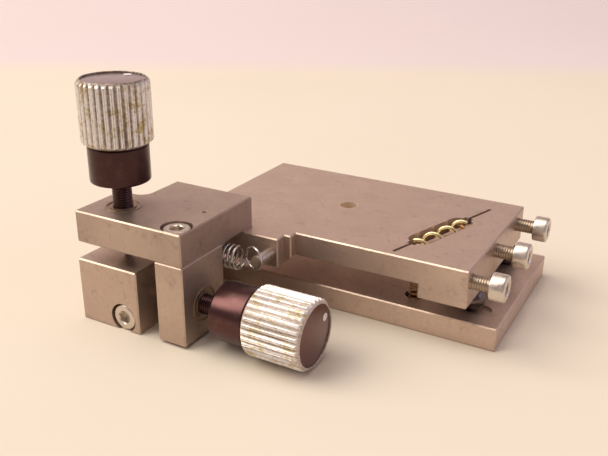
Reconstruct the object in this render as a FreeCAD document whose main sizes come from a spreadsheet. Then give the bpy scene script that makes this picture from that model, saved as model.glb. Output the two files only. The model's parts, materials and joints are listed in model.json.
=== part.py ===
import FreeCAD, Part
import math
import os
from types import SimpleNamespace

import Sketcher

# Tilt rotation stage. Millimetres, +Z up, origin at the centre of the base plate's underside,
# +X along the long side towards the end screws, -Y towards the adjusters.

DRIVING_DIMENSIONS = {
    # base plate and its forward arm
    "base_length": 79.0,
    "base_width": 40.0,
    "base_thickness": 5.0,
    "forward_arm_width": 15.0,
    "forward_arm_reach": 16.0,
    "edge_break": 0.25,
    "base_hole_radius": 1.65,
    "base_hole_depth": 4.0,
    "base_hole_spacing_x": 40.0,
    "base_hole_spacing_y": 28.0,
    "base_hole_centre_x": -8.0,
    # blocks that carry and meet the adjusters
    "block_depth": 13.5,
    "reaction_height": 13.7,
    "reaction_screw_inset": 4.0,
    "reaction_screw_bite": 9.45,
    "reaction_screw_floor": 0.1,
    "rotation_block_width": 6.6,
    "rotation_block_lift": 0.5,
    # platform
    "platform_width": 40.0,
    "platform_left_inset": 9.5,
    "platform_right_inset": 5.5,
    "platform_overhang": 3.5,
    "platform_top": 17.5,
    "platform_thickness": 5.0,
    "lip_width": 10.0,
    "lip_gap": 4.5,
    "tab_reach": 5.0,
    "tab_thickness": 6.4,
    "tab_length": 26.8,
    "tab_nick_width": 1.5,
    "tab_nick_start": 2.2,
    "centre_hole_radius": 2.0,
    "centre_hole_shift_x": -3.0,
    "centre_hole_shift_y": 0.3,
    # adjuster arm
    "arm_length": 26.0,
    "arm_inset": 0.5,
    "arm_thickness": 6.7,
    "arm_seat_depth": 0.5,
    "arm_step": 6.5,
    "arm_overlap": 3.5,
    "arm_inner_fillet": 2.5,
    "arm_screw_spacing": 10.0,
    "arm_screw_inset": 2.1,
    "arm_screw_radius": 1.0,
    "arm_screw_head_radius": 1.75,
    "arm_screw_socket_flats": 1.5,
    "arm_screw_socket_depth": 1.0,
    "arm_screw_head_height": 1.9,
    "arm_screw_length": 8.0,
    "dowel_radius": 0.6,
    "dowel_length": 10.0,
    "dowel_inset": 1.3,
    "dowel_sink": 0.5,
    # M3 socket head cap screws
    "screw_radius": 1.5,
    "screw_head_radius": 2.75,
    "screw_head_height": 3.0,
    "screw_socket_flats": 2.5,
    "screw_socket_depth": 1.4,
    "counterbore_radius": 3.1,
    "counterbore_depth": 3.2,
    "block_screw_length": 10.0,
    "block_screw_inset_x": 3.3,
    "block_screw_inset_y": 3.4,
    "end_screw_length": 12.0,
    "end_screw_exposed": 3.9,
    "end_screw_spacing": 16.5,
    "end_screw_inset": 2.0,
    "end_screw_drop": 2.7,
    # pivot balls and their seats
    "ball_radius": 2.75,
    "ball_inset": 1.8,
    "rear_ball_inset": 4.5,
    "front_ball_inset": 10.0,
    "seat_clearance": 0.05,
    "pocket_length": 8.7,
    "pocket_width": 4.4,
    # slanting slot with its rod and springs
    "slot_inset_x": 11.5,
    "slot_inset_y": 16.65,
    "slot_angle": 17.2,
    "slot_width": 5.3,
    "slot_length": 18.8,
    "slit_width": 0.7,
    "slit_front_reach": 6.2,
    "slit_rear_reach": 8.9,
    "rod_radius": 1.0,
    "rod_drop": 2.3,
    "rod_seat": 0.8,
    "fit_clearance": 0.02,
    "slot_spring_radius": 1.95,
    "slot_spring_wire": 0.65,
    "slot_spring_inset": 1.5,
    "slot_spring_pitch": 5.0,
    "slot_spring_phase": 241.0,
    "hold_down_inset": 2.0,
    "hold_down_radius": 1.3,
    "hold_down_wire": 0.45,
    "hold_down_pitch": 1.0,
    "hold_down_coil_gap": 0.4,
    "hold_down_hole_radius": 2.2,
    "pin_radius": 0.75,
    "pin_length": 8.0,
    "pin_height": 1.5,
    "hook_gap": 0.06,
    # return spring and its posts
    "post_radius": 1.3,
    "post_sink": 4.0,
    "base_post_shift": 3.3,
    "post_reach": 1.0,
    "base_post_head": 1.6,
    "tab_post_inset": 1.8,
    "return_spring_gap": 3.0,
    "return_spring_drop": 3.35,
    "return_spring_radius": 2.3,
    "return_spring_wire": 0.6,
    "return_spring_pitch": 1.5,
    "return_spring_base_leg": 5.88,
    "return_spring_tab_leg": 3.68,
    # adjusters
    "spindle_radius": 2.0,
    "running_clearance": 0.05,
    "bushing_radius": 3.75,
    "bushing_proud": 0.15,
    "tilt_axis_inset": 6.7,
    "rotation_axis_height": 7.2,
    "tip_radius": 1.5,
    "tip_gap": 0.15,
    "tip_socket_overlap": 0.4,
    "tilt_stem": 5.7,
    "rotation_stem": 4.8,
    "collar_radius": 6.0,
    "collar_length": 7.65,
    "sleeve_radius": 7.0,
    "sleeve_length": 12.6,
    "sleeve_chamfer": 0.6,
    "ridge_count": 32.0,
    "ridge_depth": 0.45,
    "groove_width": 0.75,
    "cap_radius": 6.05,
    "cap_thickness": 1.5,
    "cap_sink": 0.25,
    "dot_radius": 0.8,
    "dot_place": 4.4,
    "dot_thickness": 0.4,
    "dot_proud": 0.05,
}

TILT_DOT_ANGLE = 92.0
ROTATION_DOT_ANGLE = 118.0
HEX_CORNERS = [(math.cos(math.radians(60 * k)), math.sin(math.radians(60 * k))) for k in range(6)]
FLATS_TO_CORNER = 1 / math.sqrt(3)
BEND_SHARE = 1.3
QUARTER_TURN = 0.25


class Size:
    """A length with its value and the sheet expression that gives it."""

    def __init__(self, value, text):
        self.value = value
        self.text = text

    def __add__(self, other):
        other = as_size(other)
        return Size(self.value + other.value, f"({self.text} + {other.text})")

    def __sub__(self, other):
        other = as_size(other)
        return Size(self.value - other.value, f"({self.text} - {other.text})")

    def __mul__(self, factor):
        factor = as_size(factor)
        return Size(self.value * factor.value, f"({self.text} * {factor.text})")

    def __truediv__(self, divisor):
        divisor = as_size(divisor)
        return Size(self.value / divisor.value, f"({self.text} / {divisor.text})")

    def __neg__(self):
        return Size(-self.value, f"(0 - {self.text})")


def as_size(item):
    """Return the item as a Size."""
    if isinstance(item, Size):
        return item
    return Size(float(item), f"({float(item):.9f})")


doc = FreeCAD.newDocument("TiltRotationStage")
sheet = doc.addObject("Spreadsheet::Sheet", "Dimensions")
for row, (alias, number) in enumerate(DRIVING_DIMENSIONS.items(), start=1):
    sheet.set(f"A{row}", alias)
    sheet.set(f"B{row}", str(number))
    sheet.setAlias(f"B{row}", alias)
doc.recompute()
sizes = {name: Size(number, f"Dimensions.{name}") for name, number in DRIVING_DIMENSIONS.items()}
d = SimpleNamespace(**sizes)

X_AXIS = FreeCAD.Vector(1, 0, 0)
Y_AXIS = FreeCAD.Vector(0, 1, 0)
Z_AXIS = FreeCAD.Vector(0, 0, 1)
UPRIGHT = FreeCAD.Rotation()
FACING_RIGHT = FreeCAD.Rotation(Y_AXIS, 90)
FACING_FRONT = FreeCAD.Rotation(X_AXIS, 90)
FACING_DOWN = FreeCAD.Rotation(X_AXIS, 180)


# Helpers

def bind(item, path, size):
    """Tie one property of an object to the sheet."""
    item.setExpression(path, as_size(size).text)


def place(item, x=0, y=0, z=0, rotation=UPRIGHT):
    """Set an object's Placement, its position tied to the sheet."""
    x, y, z = as_size(x), as_size(y), as_size(z)
    item.Placement = FreeCAD.Placement(FreeCAD.Vector(x.value, y.value, z.value), rotation)
    bind(item, ".Placement.Base.x", x)
    bind(item, ".Placement.Base.y", y)
    bind(item, ".Placement.Base.z", z)
    return item


def new_body(label):
    """Start one PartDesign body."""
    body = doc.addObject("PartDesign::Body", label)
    body.Label = label
    return body


def origin_plane(body, role):
    """Find one of the body's own origin planes."""
    return next(item for item in body.Origin.OriginFeatures if item.Role == role)


def sketch_on(body, role, name, height=0, x=0, y=0, turn=None):
    """Make a sketch on an origin plane, shifted along and in the plane."""
    sketch = body.newObject("Sketcher::SketchObject", f"{body.Name}_{name}")
    sketch.AttachmentSupport = (origin_plane(body, role), [""])
    sketch.MapMode = "FlatFace"
    if turn is not None:
        sketch.AttachmentOffset = FreeCAD.Placement(FreeCAD.Vector(), FreeCAD.Rotation(Z_AXIS, turn.value))
        bind(sketch, ".AttachmentOffset.Rotation.Angle", turn)
    bind(sketch, ".AttachmentOffset.Base.x", x)
    bind(sketch, ".AttachmentOffset.Base.y", y)
    bind(sketch, ".AttachmentOffset.Base.z", height)
    return sketch


def place_point(sketch, geometry, vertex, x, y):
    """Fix one point of a sketch by its two distances from the sketch's origin."""
    for kind, size in (("DistanceX", x), ("DistanceY", y)):
        size = as_size(size)
        index = sketch.addConstraint(Sketcher.Constraint(kind, -1, 1, geometry, vertex, size.value))
        sketch.setExpression(f"Constraints[{index}]", size.text)


def set_radius(sketch, geometry, radius):
    """Give a circle or an arc its radius."""
    index = sketch.addConstraint(Sketcher.Constraint("Radius", geometry, radius.value))
    sketch.setExpression(f"Constraints[{index}]", radius.text)


def polygon(sketch, corners):
    """Draw a closed outline of straight lines."""
    corners = [(as_size(x), as_size(y)) for x, y in corners]
    points = [FreeCAD.Vector(x.value, y.value, 0) for x, y in corners]
    first = sketch.GeometryCount
    count = len(points)
    for start, end in zip(points, points[1:] + points[:1]):
        sketch.addGeometry(Part.LineSegment(start, end), False)
    for step in range(count):
        following = first + (step + 1) % count
        sketch.addConstraint(Sketcher.Constraint("Coincident", first + step, 2, following, 1))
    for step, (x, y) in enumerate(corners):
        place_point(sketch, first + step, 1, x, y)


def rectangle(sketch, x_low, x_high, y_low, y_high):
    """Draw a rectangle."""
    polygon(sketch, [(x_low, y_low), (x_high, y_low), (x_high, y_high), (x_low, y_high)])


def circle(sketch, x, y, radius):
    """Draw a circle."""
    x, y, radius = as_size(x), as_size(y), as_size(radius)
    centre = FreeCAD.Vector(x.value, y.value, 0)
    index = sketch.addGeometry(Part.Circle(centre, Z_AXIS, radius.value), False)
    place_point(sketch, index, 3, x, y)
    set_radius(sketch, index, radius)


def obround(sketch, x_low, x_high, y, radius):
    """Draw a slot with round ends along the sketch's x direction."""
    x_low, x_high, y, radius = as_size(x_low), as_size(x_high), as_size(y), as_size(radius)
    left = FreeCAD.Vector((x_low + radius).value, y.value, 0)
    right = FreeCAD.Vector((x_high - radius).value, y.value, 0)
    up = FreeCAD.Vector(0, radius.value, 0)
    left_circle = Part.Circle(left, Z_AXIS, radius.value)
    right_circle = Part.Circle(right, Z_AXIS, radius.value)
    half_turn = math.pi / 2
    first = sketch.GeometryCount
    sketch.addGeometry(Part.ArcOfCircle(left_circle, half_turn, 3 * half_turn), False)
    sketch.addGeometry(Part.ArcOfCircle(right_circle, -half_turn, half_turn), False)
    sketch.addGeometry(Part.LineSegment(left - up, right - up), False)
    sketch.addGeometry(Part.LineSegment(right + up, left + up), False)
    sketch.addConstraint(Sketcher.Constraint("Tangent", first, 2, first + 2, 1))
    sketch.addConstraint(Sketcher.Constraint("Tangent", first + 2, 2, first + 1, 1))
    sketch.addConstraint(Sketcher.Constraint("Tangent", first + 1, 2, first + 3, 1))
    sketch.addConstraint(Sketcher.Constraint("Tangent", first + 3, 2, first, 1))
    place_point(sketch, first, 3, x_low + radius, y)
    place_point(sketch, first + 1, 3, x_high - radius, y)
    set_radius(sketch, first, radius)


def pad(body, sketch, length):
    """Extrude a sketch along its normal."""
    feature = body.newObject("PartDesign::Pad", f"{sketch.Name}_pad")
    feature.Profile = sketch
    bind(feature, "Length", length)
    sketch.Visibility = False
    return feature


def pocket(body, sketch, depth=None, forwards=False):
    """Cut a sketch into the body, to a depth or right through, and see that it cuts."""
    doc.recompute()
    volume = body.Shape.Volume
    feature = body.newObject("PartDesign::Pocket", f"{sketch.Name}_pocket")
    feature.Profile = sketch
    feature.Reversed = forwards
    if depth is None:
        feature.Type = "ThroughAll"
    else:
        bind(feature, "Length", depth)
    doc.recompute()
    if body.Shape.Volume >= volume:
        raise RuntimeError(f"{sketch.Name} cuts nothing")
    return feature


def revolve(body, sketch):
    """Turn a sketch a full turn about its upright axis."""
    feature = body.newObject("PartDesign::Revolution", f"{sketch.Name}_turned")
    feature.Profile = sketch
    feature.ReferenceAxis = (sketch, ["V_Axis"])
    feature.Angle = 360
    return feature


def cut_ball(body, name, radius, x, y, z):
    """Cut a ball-shaped seat."""
    feature = body.newObject("PartDesign::SubtractiveSphere", f"{body.Name}_{name}")
    bind(feature, "Radius", radius)
    place(feature, x, y, z)
    return feature


def is_convex(shape, edge):
    """Tell an outer edge between two flat faces from an inner corner."""
    faces = shape.ancestorsOfType(edge, Part.Face)
    middle = edge.valueAt((edge.FirstParameter + edge.LastParameter) / 2)
    normals = [face.normalAt(*face.Surface.parameter(middle)) for face in faces]
    probe = middle + (normals[0] - normals[1]) * 0.01
    return not shape.isInside(probe, 1e-6, True)


def break_edges(body, size):
    """Chamfer each outer straight edge that the body has so far."""
    doc.recompute()
    base = body.Tip
    shape = base.Shape
    names = [f"Edge{n}" for n, edge in enumerate(shape.Edges, start=1) if is_convex(shape, edge)]
    feature = body.newObject("PartDesign::Chamfer", f"{body.Name}_broken_edges")
    feature.Base = (base, names)
    bind(feature, "Size", size)
    return feature


def turned(label, profile):
    """Make a round piece from half of its outline, each corner a radius and a height."""
    body = new_body(label)
    sketch = sketch_on(body, "XZ_Plane", "profile")
    polygon(sketch, profile)
    revolve(body, sketch)
    return body


def group(label, members):
    """Join loose solids of the same kind into one named sub-part."""
    compound = doc.addObject("Part::Compound", label)
    compound.Label = label
    compound.Links = members
    return compound


def cap_screw(label, radius, length, head_radius, head_height, flats, socket_depth):
    """Make a socket head cap screw, its head from z = 0 upwards and its shank below."""
    chamfer = d.edge_break
    body = turned(label, [
        (0, -length),
        (radius - chamfer, -length),
        (radius, -length + chamfer),
        (radius, 0),
        (head_radius, 0),
        (head_radius, head_height - chamfer),
        (head_radius - chamfer, head_height),
        (0, head_height),
    ])
    sketch = sketch_on(body, "XY_Plane", "socket", head_height)
    corner = flats * FLATS_TO_CORNER
    polygon(sketch, [(corner * x, corner * y) for x, y in HEX_CORNERS])
    pocket(body, sketch, socket_depth)
    return body


def cylinder(label, radius, length, x=0, y=0, z=0, rotation=UPRIGHT):
    """Make a plain round pin, starting at a point and running along its own axis."""
    item = doc.addObject("Part::Cylinder", label)
    item.Label = label
    bind(item, "Radius", radius)
    bind(item, "Height", length)
    return place(item, x, y, z, rotation)


def ball(label, radius, x, y, z):
    """Make a ball."""
    item = doc.addObject("Part::Sphere", label)
    item.Label = label
    bind(item, "Radius", radius)
    return place(item, x, y, z)


def pipe(path, wire_radius):
    """Sweep a round wire along a smooth path."""
    wire = Part.Wire(Part.sortEdges(path)[0])
    start = wire.OrderedEdges[0]
    centre = wire.OrderedVertexes[0].Point
    at_first = start.valueAt(start.FirstParameter).isEqual(centre, 1e-6)
    along = start.tangentAt(start.FirstParameter if at_first else start.LastParameter)
    section = Part.Wire(Part.makeCircle(wire_radius, centre, along))
    return wire.makePipeShell([section], True, False)


def coil(radius, wire_radius, pitch, length):
    """Make an open coil about the Z axis, starting at z = 0 on the +X side."""
    helix = Part.makeHelix(pitch, length, radius)
    return pipe(helix.Edges, wire_radius)


def hook_path(end, along, radius, bend, leg, up):
    """Bend from the end of a coil into a straight leg, then into a half ring over the coil's axis."""
    slope = math.asin(along.z * up)
    flat = FreeCAD.Vector(along.x, along.y, 0).normalize()
    rise = Z_AXIS * up

    def bend_point(angle):
        side = flat * (math.sin(angle) - math.sin(slope)) * bend
        return end + side + rise * (math.cos(slope) - math.cos(angle)) * bend

    leg_foot = bend_point(math.pi / 2)
    leg_top = leg_foot + rise * leg
    inward = flat.cross(Z_AXIS).normalize()
    if inward.dot(end) > 0:
        inward = -inward
    crown = leg_top + inward * radius + rise * radius
    far = leg_top + inward * radius * 2
    return [
        Part.Arc(end, bend_point((slope + math.pi / 2) / 2), leg_foot).toShape(),
        Part.LineSegment(leg_foot, leg_top).toShape(),
        Part.Arc(leg_top, crown, far).toShape(),
    ]


def hooked_spring(radius, wire_radius, turns, length, low_leg, high_leg):
    """Make an extension spring along Z from z = 0 in one sweep, with a half ring at the end of each leg."""
    helix = Part.makeHelix(length / turns, length, radius)
    bend = wire_radius * BEND_SHARE
    low = helix.Edges[0]
    high = helix.Edges[-1]
    low_end = low.valueAt(low.FirstParameter)
    high_end = high.valueAt(high.LastParameter)
    low_along = -low.tangentAt(low.FirstParameter)
    high_along = high.tangentAt(high.LastParameter)
    low_path = hook_path(low_end, low_along, radius, bend, low_leg - bend, -1)
    high_path = hook_path(high_end, high_along, radius, bend, high_leg - bend, 1)
    return pipe(list(reversed(low_path)) + helix.Edges + high_path, wire_radius)


def shaped(label, shape, placement):
    """Keep a shape that no feature makes as a named sub-part."""
    item = doc.addObject("Part::Feature", label)
    item.Label = label
    item.Shape = shape
    item.Placement = placement
    return item


# Places that several pieces share

base_left = -d.base_length / 2
base_right = d.base_length / 2
base_front = -d.base_width / 2
base_rear = d.base_width / 2
forward_arm_right = base_left + d.forward_arm_width
block_rear = base_front - d.forward_arm_reach
block_front = block_rear - d.block_depth
block_middle = block_rear - d.block_depth / 2
platform_left = base_left + d.platform_left_inset
platform_right = base_right - d.platform_right_inset
platform_front = base_front - d.platform_overhang
platform_rear = platform_front + d.platform_width
platform_bottom = d.platform_top - d.platform_thickness
lip_left = platform_right - d.lip_width
lip_bottom = d.base_thickness + d.lip_gap
centre_hole_x = (platform_left + platform_right) / 2 + d.centre_hole_shift_x
centre_hole_y = platform_front + d.platform_width / 2 + d.centre_hole_shift_y
tab_right = platform_left + d.tab_length
tab_nick_x = tab_right - d.tab_nick_width
tab_nick_y = platform_front - d.tab_nick_start
tab_front = platform_front - d.tab_reach
tab_bottom = d.platform_top - d.tab_thickness
arm_left = base_left + d.arm_inset
arm_right = arm_left + d.arm_length
arm_top = d.platform_top + d.arm_thickness
arm_seat = d.platform_top - d.arm_seat_depth
arm_rear = tab_front + d.arm_overlap
rotation_block_left = arm_right - d.rotation_block_width
tilt_axis_x = arm_left + d.tilt_axis_inset
block_screw_x = arm_right - d.block_screw_inset_x
block_screw_y = block_front + d.block_screw_inset_y
dowel_y = block_rear - d.dowel_inset
ball_x = platform_right - d.ball_inset
front_ball_y = platform_front + d.front_ball_inset
rear_ball_y = platform_rear - d.rear_ball_inset
ball_height = (d.base_thickness + lip_bottom) / 2
seat_radius = d.ball_radius + d.seat_clearance
rod_height = d.platform_top - d.rod_drop
reaction_screw_x = forward_arm_right - d.reaction_screw_inset
reaction_screw_z = d.screw_head_radius + d.reaction_screw_floor
arm_screw_y = tab_front + d.arm_screw_inset
arm_screw_middle_x = (platform_left + rotation_block_left + d.block_screw_inset_x * 2) / 2
end_screw_middle_y = platform_front + d.end_screw_inset + d.end_screw_spacing
end_screw_z = d.platform_top - d.end_screw_drop
return_spring_y = block_rear + d.return_spring_gap
return_spring_height = d.platform_top - d.return_spring_drop
base_post_x = reaction_screw_x - d.base_post_shift
base_post_top = return_spring_height + d.base_post_head
tab_post_x = tab_nick_x - d.tab_post_inset
tab_post_length = tab_front - return_spring_y + d.post_reach
slot_x = platform_right - d.slot_inset_x
slot_y = platform_front + d.slot_inset_y
hold_down_reach = d.slot_length / 2 - d.hold_down_inset
slot_spring_length = d.slot_length - d.slot_spring_inset * 2
slot_radians = math.radians(DRIVING_DIMENSIONS["slot_angle"])
slot_turn = -d.slot_angle
ALONG_SLOT_X = math.sin(slot_radians)
ALONG_SLOT_Y = math.cos(slot_radians)


def along_slot(reach):
    """Give the X and Y of a point on the slot's line, by its distance from the slot's middle."""
    sine = Size(ALONG_SLOT_X, "sin(Dimensions.slot_angle)")
    cosine = Size(ALONG_SLOT_Y, "cos(Dimensions.slot_angle)")
    return slot_x + sine * reach, slot_y + cosine * reach


hold_down_places = {
    "front": along_slot(-hold_down_reach),
    "rear": along_slot(hold_down_reach),
}


# Base plate: flat L with ball seats, spring holes and tapped mounting holes

def make_base_plate():
    body = new_body("base_plate")
    outline = sketch_on(body, "XY_Plane", "outline")
    polygon(outline, [
        (base_left, block_rear),
        (forward_arm_right, block_rear),
        (forward_arm_right, base_front),
        (base_right, base_front),
        (base_right, base_rear),
        (base_left, base_rear),
    ])
    pad(body, outline, d.base_thickness)
    break_edges(body, d.edge_break)

    tapped = sketch_on(body, "XY_Plane", "mounting_holes")
    for side_x in (-0.5, 0.5):
        for side_y in (-0.5, 0.5):
            hole_x = d.base_hole_centre_x + d.base_hole_spacing_x * side_x
            circle(tapped, hole_x, d.base_hole_spacing_y * side_y, d.base_hole_radius)
    pocket(body, tapped, d.base_hole_depth, forwards=True)
    spring_holes = sketch_on(body, "XY_Plane", "spring_holes", d.base_thickness)
    for x, y in hold_down_places.values():
        circle(spring_holes, x, y, d.hold_down_hole_radius)
    pocket(body, spring_holes)

    for name, (x, y) in hold_down_places.items():
        groove = sketch_on(body, "XY_Plane", f"pin_groove_{name}", 0, x, y, slot_turn)
        half_width = d.pin_radius + d.fit_clearance
        half_length = d.pin_length / 2 + d.fit_clearance
        rectangle(groove, -half_width, half_width, -half_length, half_length)
        pocket(body, groove, d.pin_height + half_width, forwards=True)

    ball_pocket = sketch_on(body, "XY_Plane", "ball_pocket", d.base_thickness)
    pocket_left = ball_x - d.pocket_length / 2
    obround(ball_pocket, pocket_left, pocket_left + d.pocket_length, front_ball_y, d.pocket_width / 2)
    pocket(body, ball_pocket, d.base_thickness - ball_height + d.ball_radius + d.seat_clearance)
    cut_ball(body, "rear_seat", seat_radius, ball_x, rear_ball_y, ball_height)

    post_hole = sketch_on(body, "XY_Plane", "post_hole", d.base_thickness)
    circle(post_hole, base_post_x, return_spring_y, d.post_radius + d.fit_clearance)
    pocket(body, post_hole, d.post_sink)

    screw_hole = sketch_on(body, "XZ_Plane", "screw_hole", -block_rear)
    circle(screw_hole, reaction_screw_x, reaction_screw_z, d.screw_radius + d.fit_clearance)
    pocket(body, screw_hole, d.block_depth)
    return body


# Reaction block and its screw, fixed to the end of the forward arm

def make_reaction_block():
    body = new_body("reaction_block")
    outline = sketch_on(body, "XY_Plane", "outline")
    rectangle(outline, base_left, forward_arm_right, block_front, block_rear)
    pad(body, outline, d.reaction_height)
    break_edges(body, d.edge_break)
    counterbore = sketch_on(body, "XZ_Plane", "counterbore", -block_front)
    circle(counterbore, reaction_screw_x, reaction_screw_z, d.counterbore_radius)
    pocket(body, counterbore, d.counterbore_depth)
    screw_hole = sketch_on(body, "XZ_Plane", "screw_hole", -block_front)
    circle(screw_hole, reaction_screw_x, reaction_screw_z, d.screw_radius + d.running_clearance)
    pocket(body, screw_hole)
    return body


def make_m3_screw(label, length):
    return cap_screw(
        label,
        d.screw_radius,
        length,
        d.screw_head_radius,
        d.screw_head_height,
        d.screw_socket_flats,
        d.screw_socket_depth,
    )


def make_reaction_block_screw():
    length = d.block_depth - d.counterbore_depth + d.reaction_screw_bite
    screw = make_m3_screw("reaction_block_screw", length)
    head_seat = block_front + d.counterbore_depth
    return place(screw, reaction_screw_x, head_seat, reaction_screw_z, FACING_FRONT)


# Platform: thin plate with a lip over the balls and a tab under the adjuster arm

def make_platform():
    body = new_body("platform")
    outline = sketch_on(body, "XY_Plane", "outline", platform_bottom)
    polygon(outline, [
        (platform_left, tab_front),
        (tab_nick_x, tab_front),
        (tab_nick_x, tab_nick_y),
        (tab_right, tab_nick_y),
        (tab_right, platform_front),
        (platform_right, platform_front),
        (platform_right, platform_rear),
        (platform_left, platform_rear),
    ])
    pad(body, outline, d.platform_thickness)
    lip = sketch_on(body, "XY_Plane", "lip", lip_bottom)
    rectangle(lip, lip_left, platform_right, platform_front, platform_rear)
    pad(body, lip, platform_bottom - lip_bottom)
    tab = sketch_on(body, "XY_Plane", "tab", tab_bottom)
    rectangle(tab, platform_left, tab_nick_x, tab_front, platform_front)
    pad(body, tab, platform_bottom - tab_bottom)
    break_edges(body, d.edge_break)

    centre_hole = sketch_on(body, "XY_Plane", "centre_hole", d.platform_top)
    circle(centre_hole, centre_hole_x, centre_hole_y, d.centre_hole_radius)
    pocket(body, centre_hole)

    along_slot_turn = as_size(90) - d.slot_angle
    slot = sketch_on(body, "XY_Plane", "slot", d.platform_top, slot_x, slot_y, along_slot_turn)
    obround(slot, -d.slot_length / 2, d.slot_length / 2, 0, d.slot_width / 2)
    pocket(body, slot)
    slit = sketch_on(body, "XY_Plane", "slit", d.platform_top, slot_x, slot_y, along_slot_turn)
    slit_front = d.slot_length / 2 + d.slit_front_reach
    slit_rear = d.slot_length / 2 + d.slit_rear_reach
    rectangle(slit, -slit_front, slit_rear, -d.slit_width / 2, d.slit_width / 2)
    pocket(body, slit)
    seat = sketch_on(body, "XY_Plane", "rod_seat", d.platform_top, slot_x, slot_y, along_slot_turn)
    half_length = d.slot_length / 2 + d.rod_seat + d.fit_clearance
    half_width = d.rod_radius + d.fit_clearance
    rectangle(seat, -half_length, half_length, -half_width, half_width)
    pocket(body, seat, d.rod_drop + half_width)

    spring_x, spring_y = hold_down_places["rear"]
    spring_hole = sketch_on(body, "XY_Plane", "spring_hole", lip_bottom)
    circle(spring_hole, spring_x, spring_y, d.hold_down_hole_radius)
    pocket(body, spring_hole, platform_bottom - lip_bottom, forwards=True)

    for name, y in (("front_seat", front_ball_y), ("rear_seat", rear_ball_y)):
        cut_ball(body, name, seat_radius, ball_x, y, ball_height)

    end_holes = sketch_on(body, "YZ_Plane", "end_screw_holes", platform_right)
    for step in (-1, 0, 1):
        hole_y = end_screw_middle_y + d.end_screw_spacing * step
        circle(end_holes, hole_y, end_screw_z, d.screw_radius + d.fit_clearance)
    pocket(body, end_holes, d.end_screw_length - d.end_screw_exposed + d.fit_clearance)

    arm_screw_holes = sketch_on(body, "XY_Plane", "arm_screw_holes", tab_bottom)
    arm_screw_heads = sketch_on(body, "XY_Plane", "arm_screw_heads", tab_bottom)
    for step in (-0.5, 0.5):
        screw_x = arm_screw_middle_x + d.arm_screw_spacing * step
        circle(arm_screw_holes, screw_x, arm_screw_y, d.arm_screw_radius + d.running_clearance)
        circle(arm_screw_heads, screw_x, arm_screw_y, d.arm_screw_head_radius + d.running_clearance)
    pocket(body, arm_screw_holes, forwards=True)
    pocket(body, arm_screw_heads, d.arm_screw_head_height + d.fit_clearance, forwards=True)

    arm_seat_sketch = sketch_on(body, "XY_Plane", "arm_seat", d.platform_top)
    seat_right = arm_right + d.fit_clearance
    rectangle(arm_seat_sketch, platform_left, seat_right, tab_front, arm_rear + d.fit_clearance)
    pocket(body, arm_seat_sketch, d.arm_seat_depth)

    post_hole = sketch_on(body, "XZ_Plane", "post_hole", -tab_front)
    circle(post_hole, tab_post_x, return_spring_height, d.post_radius + d.fit_clearance)
    pocket(body, post_hole, d.post_sink)
    return body


# Adjuster arm and its two screws from below

def make_adjuster_arm():
    body = new_body("adjuster_arm")
    outline = sketch_on(body, "XY_Plane", "outline", d.platform_top)
    step_x = arm_left + d.arm_step
    polygon(outline, [
        (arm_left, block_front),
        (arm_right, block_front),
        (arm_right, arm_rear),
        (step_x, arm_rear),
        (step_x, block_rear),
        (arm_left, block_rear),
    ])
    pad(body, outline, d.arm_thickness)
    tongue = sketch_on(body, "XY_Plane", "tongue", arm_seat)
    rectangle(tongue, platform_left, arm_right, tab_front, arm_rear)
    pad(body, tongue, d.arm_seat_depth)
    doc.recompute()
    corner = FreeCAD.Vector(step_x.value, block_rear.value, 0)
    outline_pad = body.Tip
    fillet = body.newObject("PartDesign::Fillet", "adjuster_arm_inner_fillet")
    fillet.Base = (outline_pad, [upright_edge_at(outline_pad.Shape, corner)])
    bind(fillet, "Radius", d.arm_inner_fillet)
    break_edges(body, d.edge_break)

    through = sketch_on(body, "XY_Plane", "through_holes", arm_top)
    circle(through, tilt_axis_x, block_middle, d.bushing_radius + d.fit_clearance)
    circle(through, block_screw_x, block_screw_y, d.screw_radius + d.running_clearance)
    circle(through, block_screw_x, dowel_y, d.dowel_radius + d.fit_clearance)
    pocket(body, through)
    counterbore = sketch_on(body, "XY_Plane", "counterbore", arm_top)
    circle(counterbore, block_screw_x, block_screw_y, d.counterbore_radius)
    pocket(body, counterbore, d.counterbore_depth)
    tapped = sketch_on(body, "XY_Plane", "tapped_holes", arm_seat)
    for step in (-0.5, 0.5):
        screw_x = arm_screw_middle_x + d.arm_screw_spacing * step
        circle(tapped, screw_x, arm_screw_y, d.arm_screw_radius + d.fit_clearance)
    seat_to_head = d.tab_thickness - d.arm_seat_depth - d.arm_screw_head_height
    screw_bite = d.arm_screw_length - seat_to_head
    pocket(body, tapped, screw_bite + d.fit_clearance, forwards=True)
    return body


def upright_edge_at(shape, corner):
    """Name the upright edge that stands at a corner."""
    for number, edge in enumerate(shape.Edges, start=1):
        misses = [math.hypot(vertex.X - corner.x, vertex.Y - corner.y) for vertex in edge.Vertexes]
        if sum(misses) < 1e-6:
            return f"Edge{number}"
    raise RuntimeError("no upright edge at the corner")


def make_arm_screws():
    members = []
    for name, step in (("left", -0.5), ("right", 0.5)):
        screw = cap_screw(
            f"arm_screw_{name}",
            d.arm_screw_radius,
            d.arm_screw_length,
            d.arm_screw_head_radius,
            d.arm_screw_head_height - d.fit_clearance,
            d.arm_screw_socket_flats,
            d.arm_screw_socket_depth,
        )
        screw_x = arm_screw_middle_x + d.arm_screw_spacing * step
        place(screw, screw_x, arm_screw_y, tab_bottom + d.arm_screw_head_height, FACING_DOWN)
        members.append(screw)
    return group("arm_screws", members)


# Rotation block, hanging from the arm

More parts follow.
